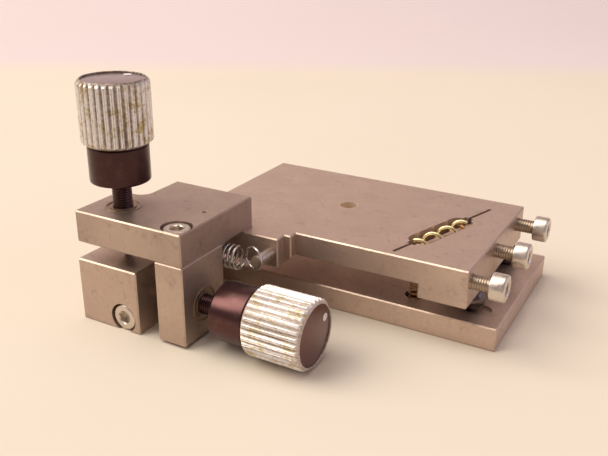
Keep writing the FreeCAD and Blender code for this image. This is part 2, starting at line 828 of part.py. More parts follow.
def make_rotation_block():
    body = new_body("rotation_block")
    outline = sketch_on(body, "XY_Plane", "outline", d.rotation_block_lift)
    rectangle(outline, rotation_block_left, arm_right, block_front, block_rear)
    pad(body, outline, d.platform_top - d.rotation_block_lift)
    break_edges(body, d.edge_break)
    bore = sketch_on(body, "YZ_Plane", "bushing_bore", arm_right)
    circle(bore, block_middle, d.rotation_axis_height, d.bushing_radius + d.fit_clearance)
    pocket(body, bore)
    screw_hole = sketch_on(body, "XY_Plane", "screw_hole", d.platform_top)
    circle(screw_hole, block_screw_x, block_screw_y, d.screw_radius + d.fit_clearance)
    screw_bite = d.block_screw_length - (d.arm_thickness - d.counterbore_depth)
    pocket(body, screw_hole, screw_bite + d.fit_clearance)
    dowel_hole = sketch_on(body, "XY_Plane", "dowel_hole", d.platform_top)
    circle(dowel_hole, block_screw_x, dowel_y, d.dowel_radius + d.fit_clearance)
    pocket(body, dowel_hole, d.dowel_length - d.arm_thickness + d.dowel_sink)
    return body


def make_rotation_block_screw():
    screw = make_m3_screw("rotation_block_screw", d.block_screw_length)
    return place(screw, block_screw_x, block_screw_y, arm_top - d.counterbore_depth)


def make_rotation_block_dowel():
    foot = arm_top - d.dowel_sink - d.dowel_length
    return cylinder("rotation_block_dowel", d.dowel_radius, d.dowel_length, block_screw_x, dowel_y, foot)


# End screws in the lip

def make_end_screws():
    members = []
    for name, step in (("front", -1), ("middle", 0), ("rear", 1)):
        screw = make_m3_screw(f"end_screw_{name}", d.end_screw_length)
        screw_y = end_screw_middle_y + d.end_screw_spacing * step
        place(screw, platform_right + d.end_screw_exposed, screw_y, end_screw_z, FACING_RIGHT)
        members.append(screw)
    return group("end_screws", members)


# Pivot balls

def make_pivot_balls():
    return [
        ball("front_pivot_ball", d.ball_radius, ball_x, front_ball_y, ball_height),
        ball("rear_pivot_ball", d.ball_radius, ball_x, rear_ball_y, ball_height),
    ]


# Rod, coil and hold-down springs in the slanting slot

def along_slot_rotation():
    """Turn a piece's own Z axis so that it lies along the slot."""
    return FreeCAD.Rotation(Z_AXIS, slot_turn.value) * FreeCAD.Rotation(X_AXIS, -90)


def make_slot_rod():
    half_length = d.slot_length / 2 + d.rod_seat
    x, y = along_slot(-half_length)
    return cylinder("slot_rod", d.rod_radius, half_length * 2, x, y, rod_height, along_slot_rotation())


def make_slot_spring():
    x, y = along_slot(-slot_spring_length / 2)
    shape = coil(
        d.slot_spring_radius.value,
        d.slot_spring_wire.value / 2,
        d.slot_spring_pitch.value,
        slot_spring_length.value,
    )
    start = FreeCAD.Vector(x.value, y.value, rod_height.value)
    turn = along_slot_rotation() * FreeCAD.Rotation(Z_AXIS, d.slot_spring_phase.value)
    return shaped("slot_spring", shape, FreeCAD.Placement(start, turn))


def make_hold_down_pins():
    pins = []
    for name, reach in (("front", -hold_down_reach), ("rear", hold_down_reach)):
        x, y = along_slot(reach - d.pin_length / 2)
        label = f"hold_down_pin_{name}"
        pins.append(
            cylinder(label, d.pin_radius, d.pin_length, x, y, d.pin_height, along_slot_rotation())
        )
    return pins


def make_hold_down_springs():
    springs = []
    wire_radius = d.hold_down_wire / 2
    inner = d.hold_down_radius - wire_radius
    high_centre = rod_height + d.rod_radius + d.hook_gap - inner
    low_centre = d.pin_height - d.pin_radius - d.hook_gap + inner
    coil_top = platform_bottom - d.hold_down_coil_gap
    coil_low = d.pin_height + d.pin_radius + d.hold_down_coil_gap
    length = (coil_top - coil_low).value
    turns = round(length / d.hold_down_pitch.value)
    for name, (x, y) in hold_down_places.items():
        shape = hooked_spring(
            d.hold_down_radius.value,
            wire_radius.value,
            turns,
            length,
            (coil_low - low_centre).value,
            (high_centre - coil_top).value,
        )
        foot = FreeCAD.Vector(x.value, y.value, coil_low.value)
        turn = FreeCAD.Rotation(Z_AXIS, slot_turn.value)
        springs.append(shaped(f"hold_down_spring_{name}", shape, FreeCAD.Placement(foot, turn)))
    return springs


# Return spring between the base post and the tab post

def make_spring_posts():
    base_post = cylinder(
        "base_spring_post",
        d.post_radius,
        base_post_top - d.base_thickness + d.post_sink,
        base_post_x,
        return_spring_y,
        d.base_thickness - d.post_sink,
    )
    tab_post = cylinder(
        "tab_spring_post",
        d.post_radius,
        tab_post_length + d.post_sink,
        tab_post_x,
        tab_front + d.post_sink,
        return_spring_height,
        FACING_FRONT,
    )
    return [base_post, tab_post]


def make_return_spring():
    wire_radius = d.return_spring_wire / 2
    inner = d.return_spring_radius - wire_radius
    low_centre = base_post_x - d.post_radius - d.hook_gap + inner
    high_centre = tab_post_x + d.post_radius + d.hook_gap - inner
    coil_left = low_centre + d.return_spring_base_leg
    coil_right = high_centre - d.return_spring_tab_leg
    length = (coil_right - coil_left).value
    turns = round(length / d.return_spring_pitch.value) + QUARTER_TURN
    shape = hooked_spring(
        d.return_spring_radius.value,
        wire_radius.value,
        turns,
        length,
        d.return_spring_base_leg.value,
        d.return_spring_tab_leg.value,
    )
    start = FreeCAD.Vector(coil_left.value, return_spring_y.value, return_spring_height.value)
    turn = FreeCAD.Rotation(X_AXIS, 90) * FACING_RIGHT
    return shaped("return_spring", shape, FreeCAD.Placement(start, turn))


# Adjusters: each is built along its own Z axis from the outer face of what carries it

def make_adjuster(name, stem, depth, carrier_thickness, dot_angle, x, y, z, rotation):
    """Make bushing, ball tip, spindle, collar, sleeve, cap and dot of one adjuster."""
    fit = d.fit_clearance
    bore = d.spindle_radius + d.running_clearance
    chamfer = d.edge_break

    bushing = turned(f"{name}_bushing", [
        (bore, -carrier_thickness),
        (d.bushing_radius, -carrier_thickness),
        (d.bushing_radius, d.bushing_proud - chamfer / 2),
        (d.bushing_radius - chamfer / 2, d.bushing_proud),
        (bore, d.bushing_proud),
    ])

    tip_height = -depth
    screw_low = tip_height - d.tip_socket_overlap
    sleeve_low = stem + d.collar_length
    sleeve_top = sleeve_low + d.sleeve_length
    cap_floor = sleeve_top - d.cap_sink - d.cap_thickness
    spindle = turned(f"{name}_screw", [
        (0, screw_low),
        (d.spindle_radius, screw_low),
        (d.spindle_radius, cap_floor - fit),
        (0, cap_floor - fit),
    ])
    cut_ball(spindle, "tip_socket", d.tip_radius + d.running_clearance, 0, 0, tip_height)

    tip = ball(f"{name}_tip", d.tip_radius, x, y, z)

    collar = turned(f"{name}_collar", [
        (d.spindle_radius + fit, stem),
        (d.collar_radius - chamfer, stem),
        (d.collar_radius, stem + chamfer),
        (d.collar_radius, sleeve_low),
        (d.spindle_radius + fit, sleeve_low),
    ])

    rim = d.sleeve_chamfer
    sleeve = turned(f"{name}_knob", [
        (d.spindle_radius + fit, sleeve_low),
        (d.sleeve_radius - rim, sleeve_low),
        (d.sleeve_radius, sleeve_low + rim),
        (d.sleeve_radius, sleeve_top - rim),
        (d.sleeve_radius - rim, sleeve_top),
        (d.cap_radius + fit, sleeve_top),
        (d.cap_radius + fit, cap_floor),
        (d.spindle_radius + fit, cap_floor),
    ])
    groove = sketch_on(sleeve, "XY_Plane", "groove", sleeve_top)
    polygon(groove, [
        (d.sleeve_radius - d.ridge_depth, 0),
        (d.sleeve_radius + d.ridge_depth, -d.groove_width),
        (d.sleeve_radius + d.ridge_depth, d.groove_width),
    ])
    cut = pocket(sleeve, groove)
    ridges = sleeve.newObject("PartDesign::PolarPattern", f"{name}_ridges")
    ridges.Originals = [cut]
    ridges.Axis = (groove, ["N_Axis"])
    ridges.Angle = 360
    bind(ridges, "Occurrences", d.ridge_count)
    sleeve.Tip = ridges

    cap = turned(f"{name}_cap", [
        (0, cap_floor),
        (d.cap_radius, cap_floor),
        (d.cap_radius, cap_floor + d.cap_thickness - chamfer),
        (d.cap_radius - chamfer, cap_floor + d.cap_thickness),
        (0, cap_floor + d.cap_thickness),
    ])
    cap_top = cap_floor + d.cap_thickness
    dot_x = d.dot_place * math.cos(math.radians(dot_angle))
    dot_y = d.dot_place * math.sin(math.radians(dot_angle))
    recess = sketch_on(cap, "XY_Plane", "dot_recess", cap_top)
    circle(recess, dot_x, dot_y, d.dot_radius + fit)
    pocket(cap, recess, d.dot_thickness)

    dot = new_body(f"{name}_index_dot")
    disc = sketch_on(dot, "XY_Plane", "disc", cap_top - d.dot_thickness)
    circle(disc, dot_x, dot_y, d.dot_radius)
    pad(dot, disc, d.dot_thickness + d.dot_proud)

    pieces = [bushing, spindle, collar, sleeve, cap, dot]
    for piece in pieces:
        place(piece, x, y, z, rotation)
    return pieces, tip


def make_tilt_adjuster():
    tip_height = d.reaction_height + d.tip_gap + d.tip_radius
    pieces, tip = make_adjuster(
        "tilt",
        d.tilt_stem,
        arm_top - tip_height,
        d.arm_thickness,
        TILT_DOT_ANGLE,
        tilt_axis_x,
        block_middle,
        arm_top,
        UPRIGHT,
    )
    place(tip, tilt_axis_x, block_middle, tip_height)
    return pieces + [tip]


def make_rotation_adjuster():
    tip_x = forward_arm_right + d.tip_gap + d.tip_radius
    pieces, tip = make_adjuster(
        "rotation",
        d.rotation_stem,
        arm_right - tip_x,
        d.rotation_block_width,
        ROTATION_DOT_ANGLE,
        arm_right,
        block_middle,
        d.rotation_axis_height,
        FACING_RIGHT,
    )
    place(tip, tip_x, block_middle, d.rotation_axis_height)
    return pieces + [tip]


parts = [
    make_base_plate(),
    make_reaction_block(),
    make_reaction_block_screw(),
    make_platform(),
    make_adjuster_arm(),
    make_arm_screws(),
    make_rotation_block(),
    make_rotation_block_screw(),
    make_rotation_block_dowel(),
    make_end_screws(),
    make_slot_rod(),
    make_slot_spring(),
    make_return_spring(),
]
parts += make_pivot_balls()
parts += make_hold_down_pins()
parts += make_hold_down_springs()
parts += make_spring_posts()
parts += make_tilt_adjuster()
parts += make_rotation_adjuster()
doc.recompute()

for item in doc.Objects:
    if "Invalid" in item.State or "Error" in item.State:
        raise RuntimeError(f"{item.Label} failed: {item.State}")
for part in parts:
    if part.Shape.isNull() or not part.Shape.isValid():
        raise RuntimeError(f"{part.Label} has no valid shape")

os.makedirs("parts", exist_ok=True)
for part in parts:
    part.Shape.exportStep(f"parts/{part.Label}.step")
    print(f"{part.Label}: {len(part.Shape.Solids)} solids, {part.Shape.Volume:.2f} mm3")
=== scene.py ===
import json
import math

import bmesh
import bpy
from mathutils import Matrix, Vector, noise


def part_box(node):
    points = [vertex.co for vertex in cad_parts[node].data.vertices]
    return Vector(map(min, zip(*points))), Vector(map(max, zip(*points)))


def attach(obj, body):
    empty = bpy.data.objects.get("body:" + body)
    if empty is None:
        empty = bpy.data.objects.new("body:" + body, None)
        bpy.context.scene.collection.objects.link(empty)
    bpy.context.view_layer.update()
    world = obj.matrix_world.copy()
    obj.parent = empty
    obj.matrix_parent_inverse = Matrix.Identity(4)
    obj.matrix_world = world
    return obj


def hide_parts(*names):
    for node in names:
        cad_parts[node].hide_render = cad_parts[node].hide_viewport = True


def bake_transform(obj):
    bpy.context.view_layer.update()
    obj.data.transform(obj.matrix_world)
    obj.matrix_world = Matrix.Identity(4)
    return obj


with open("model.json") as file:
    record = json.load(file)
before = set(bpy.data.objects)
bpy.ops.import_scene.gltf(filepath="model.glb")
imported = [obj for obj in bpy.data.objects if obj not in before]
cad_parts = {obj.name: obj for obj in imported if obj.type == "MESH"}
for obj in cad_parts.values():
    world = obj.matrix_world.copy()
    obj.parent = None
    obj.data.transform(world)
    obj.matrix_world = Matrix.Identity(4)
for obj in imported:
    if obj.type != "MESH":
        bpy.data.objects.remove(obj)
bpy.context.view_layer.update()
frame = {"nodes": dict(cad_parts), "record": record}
MM = 0.001
TURN = 2 * math.pi
SAME = 1e-6 * MM


# Where the pieces are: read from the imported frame

class Axis:
    """The line that an adjuster turns about: direction 0 is x, 2 is z. Its own frame has z along it."""

    def __init__(self, node, direction):
        self.index = direction
        self.across = tuple(0 if part == direction else 1 for part in range(3))
        low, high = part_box(node)
        centre = (low + high) / 2
        centre[direction] = 0.0
        turn = Matrix.Rotation(math.pi / 2, 4, "Y") if direction == 0 else Matrix()
        self.matrix = Matrix.Translation(centre) @ turn

    def span(self, node):
        """Give where a node starts and ends along the line, and its radius."""
        low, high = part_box(node)
        side = (self.index + 2) % 3
        return low[self.index], high[self.index], (high[side] - low[side]) / 2


tilt_axis = Axis("tilt_knob", 2)
rotation_axis = Axis("rotation_knob", 0)


# Meshes

WELD_DISTANCE = 1e-4 * MM


def mesh_object(name, vertices, faces, material, sharp_degrees=35):
    """Make a smooth-shaded object whose sharp edges stay sharp."""
    mesh = bpy.data.meshes.new(name)
    mesh.from_pydata(vertices, [], faces)
    tidy = bmesh.new()
    tidy.from_mesh(mesh)
    bmesh.ops.remove_doubles(tidy, verts=tidy.verts, dist=WELD_DISTANCE)
    bmesh.ops.recalc_face_normals(tidy, faces=tidy.faces)
    tidy.to_mesh(mesh)
    tidy.free()
    mesh.polygons.foreach_set("use_smooth", [True] * len(mesh.polygons))
    mesh.set_sharp_from_angle(angle=math.radians(sharp_degrees))
    mesh.materials.append(material)
    item = bpy.data.objects.new(name, mesh)
    bpy.context.scene.collection.objects.link(item)
    return item


def lathe(name, profile, axis, material, segments=96, closed=False, shape=None):
    """Turn a profile of (radius, height) points about an axis; shape may change a radius by angle."""
    vertices = []
    rings = []
    for radius, height in profile:
        ring = []
        if radius <= 0:
            ring = [len(vertices)] * segments
            vertices.append(axis.matrix @ Vector((0, 0, height)))
        else:
            for step in range(segments):
                angle = TURN * step / segments
                reach = shape(radius, height, angle) if shape else radius
                ring.append(len(vertices))
                spot = Vector((reach * math.cos(angle), reach * math.sin(angle), height))
                vertices.append(axis.matrix @ spot)
        rings.append(ring)
    pairs = list(zip(rings, rings[1:]))
    if closed:
        pairs.append((rings[-1], rings[0]))
    faces = []
    for low, high in pairs:
        for step in range(segments):
            following = (step + 1) % segments
            corners = [low[step], low[following], high[following], high[step]]
            unique = list(dict.fromkeys(corners))
            if len(unique) > 2:
                faces.append(unique)
    return mesh_object(name, vertices, faces, material)


def rounded(profile, size, steps=4):
    """Round the corners of an open profile; each corner's own radius may be given as a third value."""
    largest_share = 0.49
    shortest = 0.001 * MM
    result = [profile[0][:2]]
    for before, corner, after in zip(profile, profile[1:], profile[2:]):
        radius = corner[2] if len(corner) > 2 else size
        here = Vector(corner[:2])
        back = Vector(before[:2]) - here
        ahead = Vector(after[:2]) - here
        reach = min(radius, back.length * largest_share, ahead.length * largest_share)
        if reach < shortest:
            result.append(corner[:2])
            continue
        start = here + back.normalized() * reach
        end = here + ahead.normalized() * reach
        for step in range(steps + 1):
            part = step / steps
            spot = start * (1 - part) ** 2 + here * 2 * part * (1 - part) + end * part ** 2
            result.append((spot.x, spot.y))
    result.append(profile[-1][:2])
    return result


def wire(name, points, radius, material):
    """Draw a round wire through points, as a mesh with closed ends."""
    curve = bpy.data.curves.new(name, "CURVE")
    curve.dimensions = "3D"
    curve.bevel_depth = radius
    curve.bevel_resolution = 4
    curve.use_fill_caps = True
    spline = curve.splines.new("POLY")
    spline.points.add(len(points) - 1)
    for spot, point in zip(spline.points, points):
        spot.co = (*point, 1)
    holder = bpy.data.objects.new(name, curve)
    bpy.context.scene.collection.objects.link(holder)
    graph = bpy.context.evaluated_depsgraph_get()
    mesh = bpy.data.meshes.new_from_object(holder.evaluated_get(graph))
    bpy.data.objects.remove(holder)
    mesh.name = name
    mesh.materials.clear()
    mesh.materials.append(material)
    mesh.polygons.foreach_set("use_smooth", [True] * len(mesh.polygons))
    mesh.set_sharp_from_angle(angle=math.radians(50))
    item = bpy.data.objects.new(name, mesh)
    bpy.context.scene.collection.objects.link(item)
    return item


def dress(piece, body, slot, *nodes):
    """Give a piece its body and hide the CAD nodes that it stands for; the slot argument is not used."""
    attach(piece, body)
    if nodes:
        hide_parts(*nodes)


# Materials

def toned(colour, tone):
    """Make a colour paler or darker."""
    return tuple(Vector(colour) * tone)


class Shader:
    """A node material under construction; its plain values show only where the nodes can't."""

    def __init__(self, name, metallic, roughness, colour):
        self.material = bpy.data.materials.new(name)
        self.material.use_nodes = True
        self.tree = self.material.node_tree
        self.surface = self.tree.nodes["Principled BSDF"]
        self.surface.inputs["Metallic"].default_value = metallic
        self.surface.inputs["Roughness"].default_value = roughness
        self.surface.inputs["Base Color"].default_value = (*colour, 1)
        self.position = self.node("ShaderNodeTexCoord").outputs["Object"]

    def node(self, kind, inputs=None, **settings):
        """Add a node; inputs are numbers, colours or other nodes' outputs."""
        item = self.tree.nodes.new(kind)
        for key, value in settings.items():
            setattr(item, key, value)
        for socket, value in (inputs or {}).items():
            if isinstance(value, bpy.types.NodeSocket):
                self.tree.links.new(value, item.inputs[socket])
            else:
                item.inputs[socket].default_value = value
        return item

    def noise(self, size, detail=3.0, roughness=0.55, distortion=0.0):
        """Give a noise whose features are about size metres across."""
        item = self.node("ShaderNodeTexNoise", {
            "Vector": self.position,
            "Scale": 1 / size,
            "Detail": detail,
            "Roughness": roughness,
            "Distortion": distortion,
        })
        return item.outputs["Fac"]

    def remap(self, value, low, high, to_low=0.0, to_high=1.0):
        """Stretch a value from one range to another."""
        return self.node("ShaderNodeMapRange", {
            "Value": value, "From Min": low, "From Max": high, "To Min": to_low, "To Max": to_high,
        }).outputs["Result"]

    def mix(self, factor, first, second):
        """Mix two colours, by the numbers of the node's colour sockets."""
        item = self.node("ShaderNodeMix", data_type="RGBA")
        for socket, value in ((0, factor), (6, first), (7, second)):
            if isinstance(value, bpy.types.NodeSocket):
                self.tree.links.new(value, item.inputs[socket])
            else:
                item.inputs[socket].default_value = value if socket == 0 else (*value, 1)
        return item.outputs[2]

    def math(self, operation, first, second=0.0):
        """Combine two numbers."""
        return self.node("ShaderNodeMath", {0: first, 1: second}, operation=operation).outputs["Value"]

    def vector(self, operation, first, second=(0, 0, 0)):
        """Add a node that combines two vectors."""
        return self.node("ShaderNodeVectorMath", {0: first, 1: second}, operation=operation)

    def reach_from(self, centre, across):
        """Give the distance from a line through a point; across has 0 along the line and 1 across it."""
        place = self.vector("SUBTRACT", self.position, tuple(centre)).outputs["Vector"]
        flat = self.vector("MULTIPLY", place, across).outputs["Vector"]
        return self.vector("LENGTH", flat).outputs["Value"]

    def metal(self, output):
        """Link a value to the metallic input."""
        self.tree.links.new(output, self.surface.inputs["Metallic"])

    def colour(self, output):
        """Link a colour to the base colour."""
        self.tree.links.new(output, self.surface.inputs["Base Color"])

    def rough(self, output):
        """Link a value to the roughness."""
        self.tree.links.new(output, self.surface.inputs["Roughness"])

    def bump(self, height, distance, strength=1.0):
        """Raise the surface by a height value, up to distance metres."""
        item = self.node("ShaderNodeBump", {"Height": height, "Distance": distance, "Strength": strength})
        self.tree.links.new(item.outputs["Normal"], self.surface.inputs["Normal"])


def ground_steel(name="ground_steel", tone=1.0, bore_centre=None, bore_radius=0.0):
    """Ground plate: tan grey, cloudy and stained; tone makes a paler or darker copy, painted light matched
    to how bright a plate looks under the lamps; the wall of an upright bore in it is painted pale, a
    painted highlight for the lit wall.
    """
    shader = Shader(name, 0.85, 0.42, (0.30, 0.25, 0.22))
    cloud = shader.remap(shader.noise(9 * MM, 4.0), 0.35, 0.68)
    dark = toned((0.41, 0.312, 0.252), tone)
    light = toned((0.46, 0.357, 0.288), tone)
    base = shader.mix(cloud, dark, light)
    wide = shader.remap(shader.noise(2.2 * MM, 5.0, 0.65, distortion=0.6), 0.56, 0.74, 0.0, 0.6)
    small = shader.remap(shader.noise(0.9 * MM, 4.0, 0.6), 0.55, 0.75, 0.0, 0.35)
    stain = shader.math("MAXIMUM", wide, small)
    stained = shader.mix(stain, base, toned((0.20, 0.14, 0.115), tone))
    grain = shader.noise(0.12 * MM, 2.0)
    speckle = shader.remap(grain, 0.3, 0.7, 0.0, 0.22)
    surface = shader.mix(speckle, stained, (0.52, 0.43, 0.38))
    # Painted highlight: the bore's wall is painted pale, standing in for its lit far side.
    if bore_centre is not None:
        reach = shader.reach_from(bore_centre, (1, 1, 0))
        wall_edge = bore_radius + 0.04 * MM
        wall = shader.remap(reach, wall_edge, wall_edge + 0.06 * MM, 1.0, 0.0)
        surface = shader.mix(wall, surface, (0.85, 0.70, 0.54))
        shader.metal(shader.remap(wall, 0.0, 1.0, 0.85, 0.6))
    shader.colour(surface)
    shader.rough(shader.remap(cloud, 0.0, 1.0, 0.48, 0.38))
    shader.bump(grain, 0.02 * MM, 0.35)
    return shader.material


def bright_steel(name="bright_steel"):
    """Screws, pins and balls: bright steel with fine smears."""
    shader = Shader(name, 1.0, 0.22, (0.62, 0.58, 0.53))
    smear = shader.noise(0.8 * MM, 4.0)
    shader.colour(shader.mix(smear, (0.54, 0.47, 0.40), (0.74, 0.67, 0.60)))
    shader.rough(shader.remap(smear, 0.3, 0.7, 0.26, 0.42))
    return shader.material


def warm_steel(name="warm_steel", tone=0.8):
    """Threaded shanks and the slot's rod: steel with a brown film."""
    shader = Shader(name, 1.0, 0.34, (0.42, 0.33, 0.25))
    film = shader.noise(0.7 * MM, 4.0)
    dark = toned((0.34, 0.25, 0.18), tone)
    light = toned((0.56, 0.46, 0.36), tone)
    shader.colour(shader.mix(film, dark, light))
    shader.rough(shader.remap(film, 0.3, 0.7, 0.28, 0.42))
    return shader.material


def dark_shaded_ball(name="dark_shaded_ball"):
    """Pivot balls: polished steel painted near black, a painted shade for the shadow under the lip."""
    shader = Shader(name, 1.0, 0.12, (0.12, 0.10, 0.09))
    shader.colour(shader.mix(shader.noise(0.6 * MM, 2.0), (0.08, 0.06, 0.055), (0.15, 0.12, 0.11)))
    return shader.material


def copper_wire(name="copper_wire"):
    """Hold-down springs: browned wire."""
    shader = Shader(name, 1.0, 0.4, (0.45, 0.27, 0.12))
    tarnish = shader.noise(0.9 * MM, 3.0)
    shader.colour(shader.mix(tarnish, (0.30, 0.15, 0.06), (0.58, 0.38, 0.18)))
    shader.rough(shader.remap(tarnish, 0.3, 0.7, 0.34, 0.48))
    return shader.material


def shaded_pin_paint(name="shaded_pin_paint"):
    """Dowel end: steel painted dark, a painted shade for its shadowed end, beside the bore's painted pale
    wall.
    """
    shader = Shader(name, 0.3, 0.5, (0.10, 0.06, 0.04))
    shader.colour(shader.mix(shader.noise(0.4 * MM, 3.0), (0.07, 0.04, 0.03), (0.16, 0.10, 0.07)))
    return shader.material


def knurl_metal(name="knurl_metal", axis=None, groove_colour=(0.17, 0.11, 0.075)):
    """Knurled sleeves: pale silver crests, darker towards the groove floors, yellow stains."""
    shader = Shader(name, 0.8, 0.35, (0.75, 0.73, 0.70))
    patch = shader.remap(shader.noise(3.0 * MM, 4.0, 0.6, distortion=0.8), 0.50, 0.60)
    blotch = shader.remap(shader.noise(0.8 * MM, 4.0, 0.6), 0.38, 0.60, 0.1, 1.0)
    stain = shader.math("MULTIPLY", patch, blotch)
    silver = shader.mix(shader.noise(0.5 * MM, 3.0), (0.72, 0.67, 0.64), (0.93, 0.90, 0.88))
    pale = shader.mix(stain, silver, (0.50, 0.39, 0.15))
    speck = shader.remap(shader.noise(0.32 * MM, 3.0, 0.6), 0.54, 0.70, 0.0, 0.5)
    worn = shader.mix(speck, pale, (0.30, 0.22, 0.165))
    if axis is None:
        shader.colour(worn)
        return shader.material
    groove_floor = 6.50 * MM
    crest = 6.88 * MM
    reach = shader.reach_from(axis.matrix.translation, axis.across)
    # Colour runs darker towards the groove floors, by distance from the axis; groove_colour is the colour
    # at the floor.
    depth = shader.remap(reach, groove_floor, crest, 1.0, 0.0)
    uneven = shader.remap(shader.noise(0.6 * MM, 4.0, 0.6), 0.3, 0.62, 0.35, 1.0)
    groove_darkening = shader.math("MULTIPLY", depth, uneven)
    shader.colour(shader.mix(groove_darkening, worn, groove_colour))
    shader.metal(shader.remap(groove_darkening, 0.0, 1.0, 0.6, 0.2))
    shader.rough(shader.remap(groove_darkening, 0.0, 1.0, 0.30, 0.65))
    shader.bump(shader.noise(0.18 * MM, 3.0), 0.03 * MM, 0.5)
    return shader.material


def black_finish(name="black_finish", tone=1.0):
    """Collars and spindles: satin black with a warm brown cast and light scuffs."""
    shader = Shader(name, 1.0, 0.32, (0.06, 0.03, 0.028))
    shader.surface.inputs["Coat Weight"].default_value = 0.12
    shader.surface.inputs["Coat Roughness"].default_value = 0.3
    scuff = shader.remap(shader.noise(1.8 * MM, 5.0, 0.65), 0.52, 0.86)
    dark = toned((0.056, 0.026, 0.025), tone)
    light = toned((0.095, 0.050, 0.042), tone)
    shader.colour(shader.mix(scuff, dark, light))
    shader.rough(shader.remap(scuff, 0.0, 1.0, 0.28, 0.42))
    shader.bump(shader.noise(0.2 * MM, 2.0), 0.01 * MM, 0.3)
    return shader.material


def cap_finish(name, coat_index):
    """End discs: mauve brown under a glossy coat, which mirrors more with a higher index."""
    shader = Shader(name, 1.0, 0.34, (0.20, 0.11, 0.10))
    shader.surface.inputs["Coat Weight"].default_value = 1.0
    shader.surface.inputs["Coat IOR"].default_value = coat_index
    shader.surface.inputs["Coat Roughness"].default_value = 0.2
    cloud = shader.noise(2.5 * MM, 4.0)
    shader.colour(shader.mix(cloud, (0.095, 0.016, 0.014), (0.135, 0.030, 0.026)))
    shader.rough(shader.remap(cloud, 0.3, 0.7, 0.30, 0.40))
    return shader.material


def gold_wire(name="gold_wire"):
    """Pale gold spring wire with slight tarnish."""
    shader = Shader(name, 1.0, 0.34, (0.86, 0.74, 0.42))
    tarnish = shader.noise(0.9 * MM, 3.0)
    shader.colour(shader.mix(tarnish, (0.78, 0.62, 0.27), (0.95, 0.87, 0.56)))
    shader.rough(shader.remap(tarnish, 0.3, 0.7, 0.28, 0.42))
    return shader.material


def spring_steel(name="spring_steel"):
    """Bright drawn wire."""
    shader = Shader(name, 1.0, 0.2, (0.7, 0.66, 0.61))
    drawn = shader.noise(0.6 * MM, 3.0)
    shader.colour(shader.mix(drawn, (0.55, 0.50, 0.46), (0.80, 0.77, 0.73)))
    shader.rough(shader.remap(drawn, 0.3, 0.7, 0.14, 0.28))
    return shader.material


def dull_bronze(name="dull_bronze"):
    """Turned bushings: cloudy, dull brown bronze."""
    shader = Shader(name, 0.9, 0.38, (0.38, 0.28, 0.19))
    dull = shader.noise(0.9 * MM, 4.0)
    shader.colour(shader.mix(dull, (0.26, 0.19, 0.14), (0.50, 0.39, 0.28)))
    shader.rough(shader.remap(dull, 0.3, 0.7, 0.30, 0.48))
    return shader.material


def dot_paint(name="dot_paint"):
    """White index dot."""
    shader = Shader(name, 0.0, 0.3, (0.80, 0.77, 0.72))
    shader.colour(shader.mix(shader.noise(0.4 * MM, 3.0), (0.66, 0.62, 0.56), (0.88, 0.86, 0.82)))
    shader.bump(shader.noise(0.25 * MM, 2.0), 0.03 * MM, 0.5)
    return shader.material


# Finishes by material slot, and by piece where a slot has several
finishes = {
    "ground_plate": ground_steel(),
    "bright_steel": bright_steel(),
    "warm_steel": warm_steel(),
    "knurled_sleeve": knurl_metal(),
    "tilt_sleeve": knurl_metal("tilt_knurl", tilt_axis),
    "rotation_sleeve": knurl_metal("rotation_knurl", rotation_axis, (0.42, 0.32, 0.25)),
    "black_anodised": black_finish(),
    "tilt_collar": black_finish("tilt_collar_black"),
    # The lying collar's black is made 1.6 times paler: partly dust, partly a painted highlight for the
    # lamp's sheen on it.
    "rotation_collar": black_finish("rotation_collar_black", 1.6),
    "tilt_disc": cap_finish("tilt_disc", 1.8),
    "rotation_disc": cap_finish("rotation_disc", 1.35),
    "spring_bronze": gold_wire(),
    "hold_down": copper_wire(),
    "spring_steel": spring_steel(),
    "bushing_bronze": dull_bronze(),
    "white_paint": dot_paint(),
}


# Bores with a wall painted pale, a painted highlight for their lit far side: the platform's middle hole and
# the dowel's hole in the arm
mounts = {item["name"]: item for item in frame["record"]["mounts"]}
centre_hole = mounts["platform_centre_hole"]
hole_centre = centre_hole["pos_m"]
hole_radius = centre_hole["dims"]["r_mm"] * MM
dowel_low, dowel_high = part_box("rotation_block_dowel")
dowel_centre = (dowel_low + dowel_high) / 2
dowel_radius = (dowel_high.x - dowel_low.x) / 2

# Finishes of single nodes
own_finish = {
    # Painted light: the plates' tones make paler and darker copies of one ground steel, matched to how
    # bright each plate looks under the lamps.
    "base_plate": ground_steel("base_steel", 1.46),
    "platform": ground_steel("platform_steel", 1.28, hole_centre, hole_radius),
    "adjuster_arm": ground_steel("arm_steel", 1.0, dowel_centre, dowel_radius),
    "reaction_block": ground_steel("reaction_steel", 1.22),
    "rotation_block": ground_steel("rotation_steel", 1.18),
    # The pivot balls' near-black colour is painted shade.
    "front_pivot_ball": dark_shaded_ball("front_ball"),
    "rear_pivot_ball": dark_shaded_ball("rear_ball"),
    "slot_rod": warm_steel("rod_steel", 1.6),
    # The dowel end's dark colour is painted shade.
    "rotation_block_dowel": shaded_pin_paint(),
}


def finish_frame_nodes():
    """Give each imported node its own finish, or the material of its slot."""
    slot_of = {item["node"]: item["material_slot"] for item in frame["record"]["subparts"]}
    for name, node in frame["nodes"].items():
        for index in range(len(node.data.materials)):
            node.data.materials[index] = own_finish.get(name, finishes[slot_of[name]])


# Threads

THREAD_PITCH = 0.5 * MM
THREAD_DEPTH = 0.11 * MM
RINGS_PER_TURN = 8


def thread_rings(start, end, radius):
    """List the rings of a threaded stretch."""
    count = max(2, round((end - start) / THREAD_PITCH * RINGS_PER_TURN))
    return [(radius, start + (end - start) * step / count) for step in range(count + 1)]


def thread_shape(radius, start, end):
    """Give the function that cuts a thread between two heights."""
    def shape(reach, height, angle):
        if abs(reach - radius) > SAME or not start < height < end:
            return reach
        phase = (height / THREAD_PITCH - angle / TURN) % 1.0
        return radius - THREAD_DEPTH * abs(2 * phase - 1)
    return shape


# Adjusters

